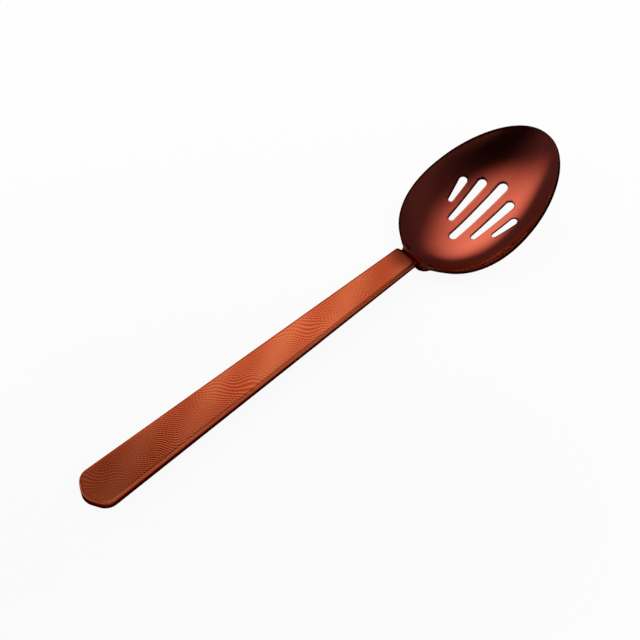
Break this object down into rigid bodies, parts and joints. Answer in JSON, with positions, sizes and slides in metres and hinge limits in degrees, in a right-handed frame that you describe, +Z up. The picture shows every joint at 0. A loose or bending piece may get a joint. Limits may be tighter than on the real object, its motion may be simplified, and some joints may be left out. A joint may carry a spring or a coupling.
{
  "type": "slotted serving spoon",
  "caption": "Long serving spoon in copper-coloured stainless steel, with a hammered hollow handle and an oval bowl pierced by a fan of tapered slots.",
  "frame": {"origin": "on the table that the spoon lies on, midway along its length, on its plane of symmetry", "axes": "+X from the handle's tail to the tip of the bowl, +Z up out of the table with the bowl's hollow side up, +Y to the left"},
  "size_m": [0.3046, 0.0658, 0.0323],
  "materials": {
    "polished_copper": "mirror-polished stainless steel with a copper-coloured vapour coating",
    "hammered_copper": "stainless steel pressed with a fine hammered pattern, with a copper-coloured vapour coating",
    "satin_copper": "satin stainless steel with a copper-coloured vapour coating",
    "weld_copper": "ground weld metal under the same coating",
    "resin": "cast filler resin"
  },
  "bodies": {
    "root": {"slotted_bowl": "polished_copper", "handle_top_shell": "hammered_copper", "handle_bottom_shell": "satin_copper", "seam_weld": "weld_copper", "neck_weld": "weld_copper", "tang_resin": "resin"}
  },
  "joints": []
}
